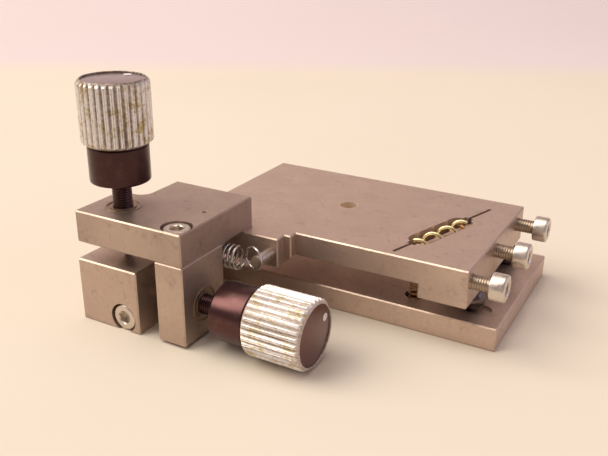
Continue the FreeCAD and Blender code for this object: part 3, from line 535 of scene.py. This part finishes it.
SLEEVE_RADIUS = 7.0 * MM
GROOVED_FROM = 6.2 * MM
RIDGES = 32
RIDGE_DEPTH = 0.55 * MM
GROOVE_SHARE = 0.68
GROOVE_STEEPNESS = 1.35
NOTCH_DEPTH = 0.15 * MM
NOTCH_SHARE = 0.07
STEPS_PER_RIDGE = 16
MEAN_WEAR = 0.85
WEAR_SPREAD = 0.4
WEAR_PER_RIDGE = 7.31
WEAR_PER_METRE = 90
RIM = 0.75 * MM
RIM_STEPS = 8
LOW_RIM_RISE = 0.8
WALL_STEPS = 12
BORE_GAP = 0.02 * MM
CAP_GAP = 0.03 * MM
ROUND_SEGMENTS = 128
SPINDLE_SEGMENTS = 48


def ridge_shape(seed):
    """Give the function that cuts straight, unevenly worn grooves into a sleeve's outer wall."""
    def shape(radius, height, angle):
        if radius < GROOVED_FROM:
            return radius
        turn = angle / TURN * RIDGES
        ridge = math.floor(turn)
        part = turn - ridge
        spot = Vector((ridge * WEAR_PER_RIDGE + seed, height * WEAR_PER_METRE, 0))
        wear = MEAN_WEAR + WEAR_SPREAD * noise.noise(spot)
        edge = min(part, 1 - part) / (GROOVE_SHARE / 2)
        depth = RIDGE_DEPTH * wear * min(1.0, max(0.0, 1 - edge) * GROOVE_STEEPNESS)
        notch = NOTCH_DEPTH * max(0.0, 1 - abs(part - 0.5) / NOTCH_SHARE)
        return min(radius, SLEEVE_RADIUS - depth - notch)
    return shape


def sleeve_wall(radius, low, high):
    """List a sleeve's outer wall from its low rim to its high rim."""
    wall = []
    for step in range(RIM_STEPS + 1):
        part = step / RIM_STEPS
        wall.append((radius - RIM * (1 - part), low + RIM * LOW_RIM_RISE * part))
    for step in range(WALL_STEPS + 1):
        wall.append((radius, low + RIM + (high - low - 2 * RIM) * step / WALL_STEPS))
    for step in range(RIM_STEPS + 1):
        part = step / RIM_STEPS
        wall.append((radius - RIM * part, high - RIM * (1 - part)))
    return wall


def spindle_bore(name, axis):
    """Give the radius of the bore that an adjuster's spindle goes through."""
    spindle_radius = axis.span(f"{name}_screw")[2]
    return spindle_radius + BORE_GAP


def make_sleeve(name, axis, seed):
    """Make the knurled sleeve, with a recess for the cap in its end."""
    low, high, radius = axis.span(f"{name}_knob")
    cap_low, _, cap_radius = axis.span(f"{name}_cap")
    bore = spindle_bore(name, axis)
    recess = cap_radius + CAP_GAP
    bevel = 0.08 * MM
    wall = [
        (recess, cap_low),
        (bore, cap_low),
        (bore, low),
    ]
    wall += sleeve_wall(radius, low, high)
    wall += [
        (recess + bevel, high),
        (recess, high - bevel),
    ]
    sleeve = lathe(
        f"{name}_knurled_sleeve", wall, axis, finishes[f"{name}_sleeve"],
        RIDGES * STEPS_PER_RIDGE, closed=True, shape=ridge_shape(seed),
    )
    dress(sleeve, f"{name}_knob_body", "knurled_sleeve", f"{name}_knob")


def make_collar(name, axis):
    """Make the black collar, with a narrower neck under the sleeve."""
    low, high, radius = axis.span(f"{name}_collar")
    bore = spindle_bore(name, axis)
    neck = radius - 0.25 * MM
    neck_length = 0.3 * MM
    shoulder_length = 0.5 * MM
    low_round = 0.45 * MM
    outline = rounded([
        (bore, high),
        (bore, low),
        (radius, low, low_round),
        (radius, high - shoulder_length),
        (neck, high - neck_length),
        (neck, high),
    ], 0.1 * MM)
    collar = lathe(
        f"{name}_turned_collar", outline, axis, finishes[f"{name}_collar"], ROUND_SEGMENTS, closed=True,
    )
    dress(collar, f"{name}_knob_body", "black_anodised", f"{name}_collar")


def make_cap(name, axis):
    """Make the end disc, its face a little below the sleeve's rim."""
    low, high, radius = axis.span(f"{name}_cap")
    face = high - 0.02 * MM
    low_round = 0.05 * MM
    edge = 0.12 * MM
    disc = rounded([
        (0, low),
        (radius, low, low_round),
        (radius, face, edge),
        (0, face),
    ], edge)
    cap = lathe(f"{name}_turned_cap", disc, axis, finishes[f"{name}_disc"], ROUND_SEGMENTS)
    dress(cap, f"{name}_knob_body", "black_anodised", f"{name}_cap")


def make_spindle(name, axis):
    """Make the spindle, threaded from its chamfer up to the collar."""
    low, high, radius = axis.span(f"{name}_screw")
    collar_low = axis.span(f"{name}_collar")[0]
    chamfer = 0.3 * MM
    thread_low = low + chamfer
    profile = [(0, low), (radius - chamfer, low)]
    profile += thread_rings(thread_low, collar_low, radius)
    profile += [(radius, high), (0, high)]
    spindle = lathe(
        f"{name}_threaded_spindle", profile, axis, finishes["black_anodised"],
        SPINDLE_SEGMENTS, shape=thread_shape(radius, thread_low, collar_low),
    )
    dress(spindle, f"{name}_knob_body", "black_anodised", f"{name}_screw")


def make_bushing(name, axis):
    """Make the bushing, with a ring groove in its end face."""
    low, high, radius = axis.span(f"{name}_bushing")
    bore = spindle_bore(name, axis)
    mouth = high - 0.1 * MM
    groove_floor = high - 0.25 * MM
    inner_lip = bore + 0.6 * MM
    outer_lip = radius - 0.45 * MM
    draft = 0.05 * MM
    ring = rounded([
        (inner_lip, high),
        (bore, mouth),
        (bore, low),
        (radius, low),
        (radius, high),
        (outer_lip, high),
        (outer_lip - draft, groove_floor),
        (inner_lip + draft, groove_floor),
    ], 0.06 * MM)
    bushing = lathe(f"{name}_turned_bushing", ring, axis, finishes["bushing_bronze"], closed=True)
    dress(bushing, "platform_group", "bushing_bronze", f"{name}_bushing")


def make_adjuster(name, axis, seed):
    """Dress one adjuster: sleeve, collar, cap, threaded spindle and grooved bushing."""
    make_sleeve(name, axis, seed)
    make_collar(name, axis)
    make_cap(name, axis)
    make_spindle(name, axis)
    make_bushing(name, axis)


finish_frame_nodes()
make_adjuster("tilt", tilt_axis, 3.0)
make_adjuster("rotation", rotation_axis, 11.0)


# Screws

HEAD_RADIUS = 2.75 * MM
HEAD_HEIGHT = 3.0 * MM
SHANK_RADIUS = 1.5 * MM
SHANK_CHAMFER = 0.35 * MM
SOCKET_APOTHEM = 1.25 * MM
SOCKET_MOUTH = 1.52 * MM
SOCKET_BEVEL = 0.22 * MM
SOCKET_DEPTH = 1.4 * MM
SOCKET_POINT = 0.3 * MM
SIXTH_TURN = math.radians(60)
SHANK_SEGMENTS = 64


class Place:
    """A free place with its own frame, for pieces that don't turn about an adjuster's line."""

    def __init__(self, origin, rotation):
        self.matrix = Matrix.Translation(Vector(origin)) @ rotation.to_4x4()


def hexagon(reach, height, angle):
    """Turn the socket's round wall into six flats."""
    if abs(reach - SOCKET_APOTHEM) > SAME:
        return reach
    return SOCKET_APOTHEM / math.cos((angle + SIXTH_TURN / 2) % SIXTH_TURN - SIXTH_TURN / 2)


def cap_screw(name, place, length, body, *nodes):
    """Make a socket head cap screw with its head above z = 0 and its threaded shank below."""
    thread_low = -length + 0.4 * MM
    thread_high = -0.3 * MM
    shank_high = 0.1 * MM
    profile = [
        (0, -length),
        (SHANK_RADIUS - SHANK_CHAMFER, -length),
        (SHANK_RADIUS, -length + SHANK_CHAMFER),
    ]
    profile += thread_rings(thread_low, thread_high, SHANK_RADIUS)
    profile += [(SHANK_RADIUS, shank_high), (0, shank_high)]
    cut = thread_shape(SHANK_RADIUS, thread_low, thread_high)
    shank = lathe(f"{name}_shank", profile, place, finishes["warm_steel"], SHANK_SEGMENTS, shape=cut)
    dress(shank, body, "bright_steel", *nodes)

    low_round = 0.25 * MM
    high_round = 0.55 * MM
    mouth_round = 0.04 * MM
    outline = rounded([
        (0, 0),
        (HEAD_RADIUS, 0, low_round),
        (HEAD_RADIUS, HEAD_HEIGHT, high_round),
        (SOCKET_MOUTH, HEAD_HEIGHT, mouth_round),
        (SOCKET_APOTHEM, HEAD_HEIGHT - SOCKET_BEVEL),
    ], 0.05 * MM)
    socket_floor = HEAD_HEIGHT - SOCKET_DEPTH
    outline += [(SOCKET_APOTHEM, socket_floor), (0, socket_floor - SOCKET_POINT)]
    head = lathe(f"{name}_head", outline, place, finishes["bright_steel"], shape=hexagon)
    dress(head, body, "bright_steel", *nodes)


def make_cap_screws():
    """Make the end screws and the two block screws, each with its socket turned its own way."""
    low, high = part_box("end_screws")
    facing_right = Matrix.Rotation(math.pi / 2, 3, "Y")
    length = high.x - HEAD_HEIGHT - low.x
    rows = {
        "front": (low.y + HEAD_RADIUS, 10, ["end_screws"]),
        "middle": ((low.y + high.y) / 2, 34, []),
        "rear": (high.y - HEAD_RADIUS, 52, []),
    }
    for label, (y, degrees, nodes) in rows.items():
        rotation = facing_right @ Matrix.Rotation(math.radians(degrees), 3, "Z")
        place = Place((high.x - HEAD_HEIGHT, y, (low.z + high.z) / 2), rotation)
        cap_screw(f"end_screw_{label}", place, length, "platform_group", *nodes)

    low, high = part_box("rotation_block_screw")
    upright = Matrix.Rotation(math.radians(20), 3, "Z")
    place = Place(((low.x + high.x) / 2, (low.y + high.y) / 2, high.z - HEAD_HEIGHT), upright)
    length = high.z - HEAD_HEIGHT - low.z
    cap_screw("arm_cap_screw", place, length, "platform_group", "rotation_block_screw")

    low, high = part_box("reaction_block_screw")
    facing_front = Matrix.Rotation(math.pi / 2, 3, "X") @ Matrix.Rotation(math.radians(15), 3, "Z")
    place = Place(((low.x + high.x) / 2, low.y + HEAD_HEIGHT, (low.z + high.z) / 2), facing_front)
    length = high.y - low.y - HEAD_HEIGHT
    cap_screw("block_cap_screw", place, length, "base", "reaction_block_screw")


# Springs

SLOT_TURN = -math.radians(17.2)
COIL_STEPS = 32


def coil_points(radius, start, end, turns, first_angle=0.0):
    """List the points of a coil about z, from one height to another."""
    count = round(abs(turns) * COIL_STEPS)
    points = []
    for step in range(count + 1):
        angle = first_angle + TURN * turns * step / count
        height = start + (end - start) * step / count
        points.append(Vector((radius * math.cos(angle), radius * math.sin(angle), height)))
    return points


def hermite(start, start_slope, end, end_slope, count=14):
    """List the points of a smooth bend between two places, without its ends."""
    points = []
    for step in range(1, count):
        part = step / count
        square, cube = part ** 2, part ** 3
        points.append(
            start * (2 * cube - 3 * square + 1)
            + start_slope * (cube - 2 * square + part)
            + end * (3 * square - 2 * cube)
            + end_slope * (cube - square)
        )
    return points


def hook_points(radius, leg_end, way, count=18):
    """List the points of a half ring in the x-z plane, from +x to -x, bulging up (1) or down (-1)."""
    points = []
    for step in range(count + 1):
        angle = math.pi * step / count
        points.append(Vector((radius * math.cos(angle), 0, leg_end + way * radius * math.sin(angle))))
    return points


def split_spring(name, points, radius, finish, middle):
    """Make a spring as two wires, split at the point nearest the middle."""
    cut = min(range(len(points)), key=lambda index: (points[index] - middle).length)
    halves = (("low", points[:cut + 1], "base", "pivot"), ("high", points[cut:], "pivot", "platform_group"))
    for label, path, start_body, end_body in halves:
        piece = wire(f"{name}_{label}", path, radius, finishes[finish])
        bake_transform(piece)
        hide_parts(name)


def make_hold_down_springs():
    """Make the two upright springs, hooked on the slot's rod and on the pins in the base."""
    wire_radius = 0.225 * MM
    radius = 1.3 * MM
    turns = 9
    low_hook_height = 2.5 * MM
    high_hook_depth = 5.4 * MM
    coil_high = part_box("platform")[1].z - high_hook_depth
    for end in ("front", "rear"):
        name = f"hold_down_spring_{end}"
        low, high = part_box(name)
        low_centre = low.z + wire_radius + radius
        high_centre = high.z - wire_radius - radius
        coil_low = low.z + low_hook_height
        local = list(reversed(hook_points(radius, low_centre, -1)))
        local += coil_points(radius, coil_low, coil_high, turns)
        local += hook_points(radius, high_centre, 1)
        centre = Vector(((low.x + high.x) / 2, (low.y + high.y) / 2, 0))
        turn = Matrix.Translation(centre) @ Matrix.Rotation(SLOT_TURN, 4, "Z")
        points = [turn @ point for point in local]
        middle = Vector((centre.x, centre.y, (coil_low + coil_high) / 2))
        split_spring(name, points, wire_radius, "hold_down", middle)


def make_slot_spring():
    """Make the gold coil that lies round the rod in the slanting slot."""
    low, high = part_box("slot_rod")
    lift = 0.4 * MM
    centre = (low + high) / 2 + Vector((0, 0, lift))
    radius = 1.95 * MM
    wire_radius = 0.36 * MM
    half_length = 7.9 * MM
    turns = 3.16
    first_angle = math.radians(241)
    local = coil_points(radius, -half_length, half_length, turns, first_angle)
    turn = Matrix.Rotation(SLOT_TURN, 4, "Z") @ Matrix.Rotation(-math.pi / 2, 4, "X")
    points = [Matrix.Translation(centre) @ turn @ point for point in local]
    piece = wire("slot_coil", points, wire_radius, finishes["spring_bronze"])
    dress(piece, "platform_group", "spring_bronze", "slot_spring")


def open_loop(centre, radius):
    """List the points of the return spring's end loop: nearly a full ring, twisted and leaning."""
    twist = math.radians(-17)
    lean = 0.12
    first_degrees = 165
    sweep_degrees = 338
    steps = 40
    across = Vector((math.cos(twist), math.sin(twist), lean)).normalized()
    upward = (Vector((0, 0, 1)) - across * across.z).normalized()
    points = []
    for step in range(steps + 1):
        angle = math.radians(first_degrees - sweep_degrees * step / steps)
        points.append(centre + (across * math.cos(angle) + upward * math.sin(angle)) * radius)
    return points


def make_return_spring():
    """Make the bright spring between the base post and the tab post, with an open loop at the tab."""
    low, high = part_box("return_spring")
    wire_radius = 0.3 * MM
    radius = 2.3 * MM
    turns = 11.93
    sag = 0.4 * MM
    coil_start = -24.4 * MM
    coil_end = -10.85 * MM
    loop_back = 0.5 * MM
    loop_rise = 0.3 * MM
    coil_lead = 1.6 * MM
    forward_lead = 1.2 * MM
    loop_lead = 2.0 * MM
    still_share = 0.2
    centre = Vector((0, (low.y + high.y) / 2, (low.z + high.z) / 2))
    low_centre = low.x + wire_radius + radius
    lowered = Matrix.Translation(centre - Vector((0, 0, sag)))
    turn = lowered @ Matrix.Rotation(math.pi / 2, 4, "X") @ Matrix.Rotation(math.pi / 2, 4, "Y")
    local = list(reversed(hook_points(radius, low_centre, -1)))
    local += coil_points(radius, coil_start, coil_end, turns)
    points = [turn @ point for point in local]
    loop_x = high.x - wire_radius - radius - loop_back
    ring = open_loop(centre + Vector((loop_x, 0, loop_rise)), radius)
    start_slope = (points[-1] - points[-2]).normalized() * coil_lead + Vector((forward_lead, 0, 0))
    end_slope = (ring[1] - ring[0]).normalized() * loop_lead
    points += hermite(points[-1], start_slope, ring[0], end_slope)
    points += ring
    middle = Vector((coil_start + (coil_end - coil_start) * still_share, centre.y, centre.z))
    split_spring("return_spring", points, wire_radius, "spring_steel", middle)


make_cap_screws()
make_hold_down_springs()
make_slot_spring()
make_return_spring()


# Floor, backdrop, light and camera

def stage_material(name, across):
    """Pale matt table, a little uneven, with a pinker wall behind it."""
    shader = Shader(name, 0.0, 0.75, (0.82, 0.72, 0.60))
    drift = shader.remap(shader.noise(120 * MM, 2.0), 0.3, 0.7)
    table = shader.mix(drift, (0.71, 0.635, 0.525), (0.73, 0.655, 0.55))
    distance = shader.vector("DOT_PRODUCT", shader.position, tuple(across)).outputs["Value"]
    table_end = 0.235
    wall_start = 0.275
    wall = shader.remap(distance, table_end, wall_start)
    shader.colour(shader.mix(wall, table, (0.70, 0.61, 0.61)))
    return shader.material


def make_stage():
    """Make a floor that curves up into a backdrop."""
    width = 1.6
    front = -0.9
    rear = 0.75
    height = 0.9
    bend = 0.35
    bend_steps = 16
    outline = [(front, 0.0), (rear - bend, 0.0)]
    for step in range(1, bend_steps + 1):
        angle = math.pi / 2 * step / bend_steps
        outline.append((rear - bend + bend * math.sin(angle), bend - bend * math.cos(angle)))
    outline.append((rear, height))
    across = Vector((-0.446, 0.809, 0)).normalized()
    side = Vector((across.y, -across.x, 0))
    vertices = []
    for reach, rise in outline:
        for way in (-1, 1):
            vertices.append(across * reach + side * width * way + Vector((0, 0, rise)))
    faces = [(2 * n, 2 * n + 1, 2 * n + 3, 2 * n + 2) for n in range(len(outline) - 1)]
    floor = mesh_object("floor_and_backdrop", vertices, faces, stage_material("table", across), 80)


def area_light(name, place, target, size, power, colour):
    """Make a soft rectangular lamp that looks at a point."""
    data = bpy.data.lights.new(name, "AREA")
    data.shape = "RECTANGLE"
    data.size, data.size_y = size
    data.energy = power
    data.color = colour
    lamp = bpy.data.objects.new(name, data)
    bpy.context.scene.collection.objects.link(lamp)
    lamp.location = place
    lamp.rotation_euler = (Vector(target) - Vector(place)).to_track_quat("-Z", "Y").to_euler()


def make_light():
    """Light the stage: a warm window at the left, a faint ceiling, a cool room behind at the right."""
    world = bpy.data.worlds.new("soft_room")
    bpy.context.scene.world = world
    world.use_nodes = True
    background = world.node_tree.nodes["Background"]
    background.inputs["Color"].default_value = (1.0, 0.84, 0.84, 1)
    background.inputs["Strength"].default_value = 0.36
    area_light("window", (-1.5, -0.9, 1.8), (0, 0, 0), (2.0, 1.7), 56.0, (1.0, 0.93, 0.82))
    area_light("ceiling", (-0.1, -0.05, 0.9), (0, 0, 0), (0.7, 0.7), 3.5, (1.0, 0.92, 0.84))
    area_light("room", (0.8, 0.3, 0.3), (0.04, 0, 0.01), (0.9, 0.5), 1.3, (0.72, 0.66, 1.0))


def make_camera():
    """Place the camera by the right and up directions and the position fitted to the photograph."""
    right = Vector((0.87344, 0.48683, 0.00980))
    up = Vector((-0.19443, 0.33023, 0.92366))
    back = right.cross(up)
    position = Vector((69.35, -151.57, 79.68)) * MM
    data = bpy.data.cameras.new("camera")
    focal_pixels = 768.45
    frame_pixels = 608
    data.sensor_width = 36.0
    data.lens = focal_pixels / frame_pixels * data.sensor_width
    data.clip_start = 0.01
    camera = bpy.data.objects.new("camera", data)
    rotation = Matrix((right, up, back)).transposed().to_4x4()
    camera.matrix_world = Matrix.Translation(position) @ rotation
    bpy.context.scene.collection.objects.link(camera)
    bpy.context.scene.camera = camera


make_stage()
make_light()
make_camera()
bpy.context.scene.view_settings.view_transform = "Standard"
